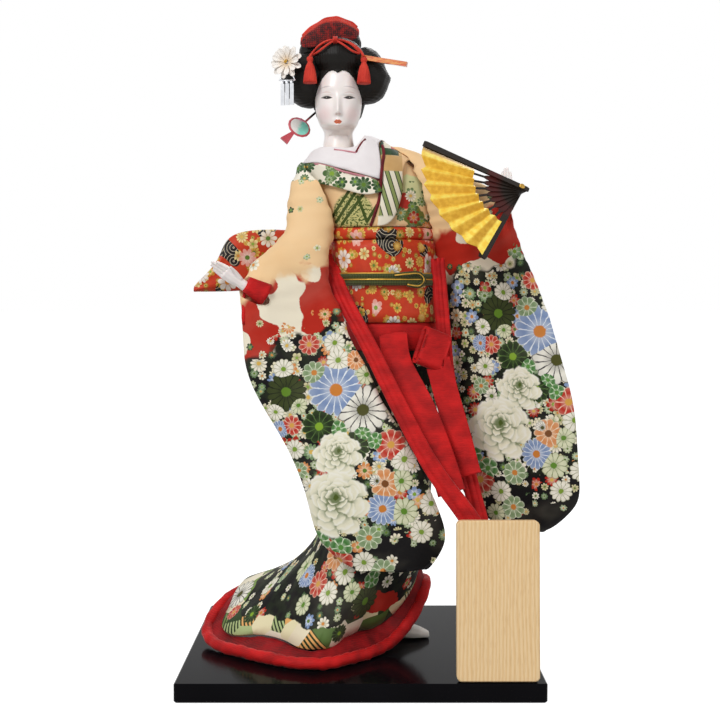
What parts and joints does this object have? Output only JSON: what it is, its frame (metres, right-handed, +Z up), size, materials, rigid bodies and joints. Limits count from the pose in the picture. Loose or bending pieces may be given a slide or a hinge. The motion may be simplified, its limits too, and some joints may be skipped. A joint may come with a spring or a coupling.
{
  "type": "dressed dancing doll",
  "caption": "Standing doll in a long-sleeved printed robe with trailing hem, brocade obi and dressed wig, holding an open folding fan, on a lacquered board with a plain wooden plaque.",
  "frame": {"origin": "centre of the board's underside", "axes": "+Z up, the doll looks along -Y, +X is the doll's left"},
  "size_m": [0.3061, 0.216, 0.5133],
  "materials": {
    "lacquer": "black gloss lacquer",
    "pale_wood": "planed, bare",
    "steel": "plain wire and screws",
    "tabi": "white cotton",
    "stuffing": "bound straw",
    "printed_silk": "printed crepe",
    "peach_silk": "printed crepe",
    "red_crepe": "red crepe",
    "crimson": "crimson cloth",
    "white_silk": "white silk",
    "brocade": "orange and gold brocade",
    "green_cord": "flat braid",
    "skin": "polished white shell paint over a wood composition",
    "hair": "waxed black fibre",
    "petal_silk": "folded white silk",
    "silver": "bright strips",
    "pearl": "pearl gloss",
    "orange_lacquer": "orange gloss with gold",
    "black_bamboo": "black lacquered bamboo",
    "gold_paper": "gold leaf paper",
    "brass": "plain"
  },
  "bodies": {
    "figure": {"base_board": "lacquer", "foot_screw_left": "steel", "foot_screw_right": "steel", "foot_left": "tabi", "foot_right": "tabi", "leg_rod_left": "pale_wood", "leg_rod_right": "pale_wood", "body_core": "stuffing", "arm_wire_left": "steel", "arm_wire_right": "steel", "hand_left": "skin", "hand_right": "skin", "waist_sash": "red_crepe", "obi": "brocade", "obi_scarf": "brocade", "obi_cord": "green_cord", "bodice": "peach_silk", "under_collar": "white_silk", "lapel_left": "printed_silk", "lapel_right": "printed_silk", "kimono_skirt": "printed_silk", "under_robe": "crimson", "hem_roll": "red_crepe", "sleeve_left": "printed_silk", "sleeve_right": "printed_silk", "sash_loop": "red_crepe", "sash_tail_front": "red_crepe", "sash_tail_side": "red_crepe", "strand_left": "red_crepe", "strand_right": "red_crepe", "obi_bow_wings": "brocade", "obi_bow_knot": "brocade", "fan_guard_front": "black_bamboo", "fan_leaf": "gold_paper", "fan_rivet": "brass"},
    "head": {"head": "skin", "hair_back": "hair", "hair_front": "hair", "hair_wing_left": "hair", "hair_wing_right": "hair", "hair_topknot": "hair", "topknot_cloth": "crimson", "hair_cord": "red_crepe"},
    "tassel_left": {"tassel_left": "red_crepe"},
    "tassel_right": {"tassel_right": "red_crepe"},
    "flower_hairpin": {"flower_hairpin": "petal_silk"},
    "flower_strip_1": {"flower_strip_1": "silver"},
    "flower_strip_2": {"flower_strip_2": "silver"},
    "flower_strip_3": {"flower_strip_3": "silver"},
    "disc_hairpin": {"disc_hairpin": "pearl"},
    "bar_hairpin": {"bar_hairpin": "orange_lacquer"},
    "fan_rib_1": {"fan_rib_1": "black_bamboo"},
    "fan_rib_2": {"fan_rib_2": "black_bamboo"},
    "fan_rib_3": {"fan_rib_3": "black_bamboo"},
    "fan_rib_4": {"fan_rib_4": "black_bamboo"},
    "fan_rib_5": {"fan_rib_5": "black_bamboo"},
    "fan_rib_6": {"fan_rib_6": "black_bamboo"},
    "fan_rib_7": {"fan_rib_7": "black_bamboo"},
    "fan_guard_rear": {"fan_guard_rear": "black_bamboo"},
    "plaque": {"plaque": "pale_wood"}
  },
  "joints": [
    {"name": "head_turn", "type": "hinge", "parent": "figure", "child": "head", "pos_m": [-0.0174, 0.002, 0.4], "axis": [0, 0, 1], "range_deg": [-18, 18]},
    {"name": "fan_fold", "type": "hinge", "parent": "figure", "child": "fan_guard_rear", "pos_m": [0.1202, -0.045, 0.3721], "axis": [-0.278, 0.7241, -0.6311], "range_deg": [0, 80], "deforming": ["fan_leaf"]},
    {"name": "fan_rib_1_turn", "type": "hinge", "parent": "figure", "child": "fan_rib_1", "pos_m": [0.1202, -0.045, 0.3721], "axis": [-0.278, 0.7241, -0.6311], "range_deg": [0, 10]},
    {"name": "fan_rib_2_turn", "type": "hinge", "parent": "figure", "child": "fan_rib_2", "pos_m": [0.1202, -0.045, 0.3721], "axis": [-0.278, 0.7241, -0.6311], "range_deg": [0, 20]},
    {"name": "fan_rib_3_turn", "type": "hinge", "parent": "figure", "child": "fan_rib_3", "pos_m": [0.1202, -0.045, 0.3721], "axis": [-0.278, 0.7241, -0.6311], "range_deg": [0, 30]},
    {"name": "fan_rib_4_turn", "type": "hinge", "parent": "figure", "child": "fan_rib_4", "pos_m": [0.1202, -0.045, 0.3721], "axis": [-0.278, 0.7241, -0.6311], "range_deg": [0, 40]},
    {"name": "fan_rib_5_turn", "type": "hinge", "parent": "figure", "child": "fan_rib_5", "pos_m": [0.1202, -0.045, 0.3721], "axis": [-0.278, 0.7241, -0.6311], "range_deg": [0, 50]},
    {"name": "fan_rib_6_turn", "type": "hinge", "parent": "figure", "child": "fan_rib_6", "pos_m": [0.1202, -0.045, 0.3721], "axis": [-0.278, 0.7241, -0.6311], "range_deg": [0, 60]},
    {"name": "fan_rib_7_turn", "type": "hinge", "parent": "figure", "child": "fan_rib_7", "pos_m": [0.1202, -0.045, 0.3721], "axis": [-0.278, 0.7241, -0.6311], "range_deg": [0, 70]},
    {"name": "tassel_left_swing", "type": "hinge", "parent": "head", "child": "tassel_left", "pos_m": [0.0026, -0.02333, 0.476], "axis": [-1, 0, 0], "range_deg": [0, 40]},
    {"name": "tassel_right_swing", "type": "hinge", "parent": "head", "child": "tassel_right", "pos_m": [-0.0389, -0.02332, 0.4765], "axis": [-1, 0, 0], "range_deg": [0, 40]},
    {"name": "flower_hairpin_pull", "type": "slide", "parent": "head", "child": "flower_hairpin", "axis": [-0.3538, -0.9299, 0.1011], "range_m": [0, 0.03]},
    {"name": "flower_strip_1_swing", "type": "hinge", "parent": "flower_hairpin", "child": "flower_strip_1", "pos_m": [-0.06027, -0.01949, 0.45805], "axis": [-0.9346, 0.3556, 0], "range_deg": [0, 60]},
    {"name": "flower_strip_2_swing", "type": "hinge", "parent": "flower_hairpin", "child": "flower_strip_2", "pos_m": [-0.05662, -0.02088, 0.45805], "axis": [-0.9346, 0.3556, 0], "range_deg": [0, 60]},
    {"name": "flower_strip_3_swing", "type": "hinge", "parent": "flower_hairpin", "child": "flower_strip_3", "pos_m": [-0.05298, -0.02226, 0.45805], "axis": [-0.9346, 0.3556, 0], "range_deg": [0, 60]},
    {"name": "disc_hairpin_pull", "type": "slide", "parent": "head", "child": "disc_hairpin", "axis": [-0.5223, -0.6227, -0.5826], "range_m": [0, 0.03]},
    {"name": "bar_hairpin_pull", "type": "slide", "parent": "head", "child": "bar_hairpin", "axis": [0.9417, -0.2705, -0.2004], "range_m": [0, 0.034]},
    {"name": "plaque_lift", "type": "slide", "parent": "figure", "child": "plaque", "axis": [0, 0, 1], "range_m": [0, 0.06]}
  ],
  "couplings": [
    {"joint": "fan_rib_1_turn", "follows": "fan_fold", "ratio": 0.125},
    {"joint": "fan_rib_2_turn", "follows": "fan_fold", "ratio": 0.25},
    {"joint": "fan_rib_3_turn", "follows": "fan_fold", "ratio": 0.375},
    {"joint": "fan_rib_4_turn", "follows": "fan_fold", "ratio": 0.5},
    {"joint": "fan_rib_5_turn", "follows": "fan_fold", "ratio": 0.625},
    {"joint": "fan_rib_6_turn", "follows": "fan_fold", "ratio": 0.75},
    {"joint": "fan_rib_7_turn", "follows": "fan_fold", "ratio": 0.875}
  ]
}
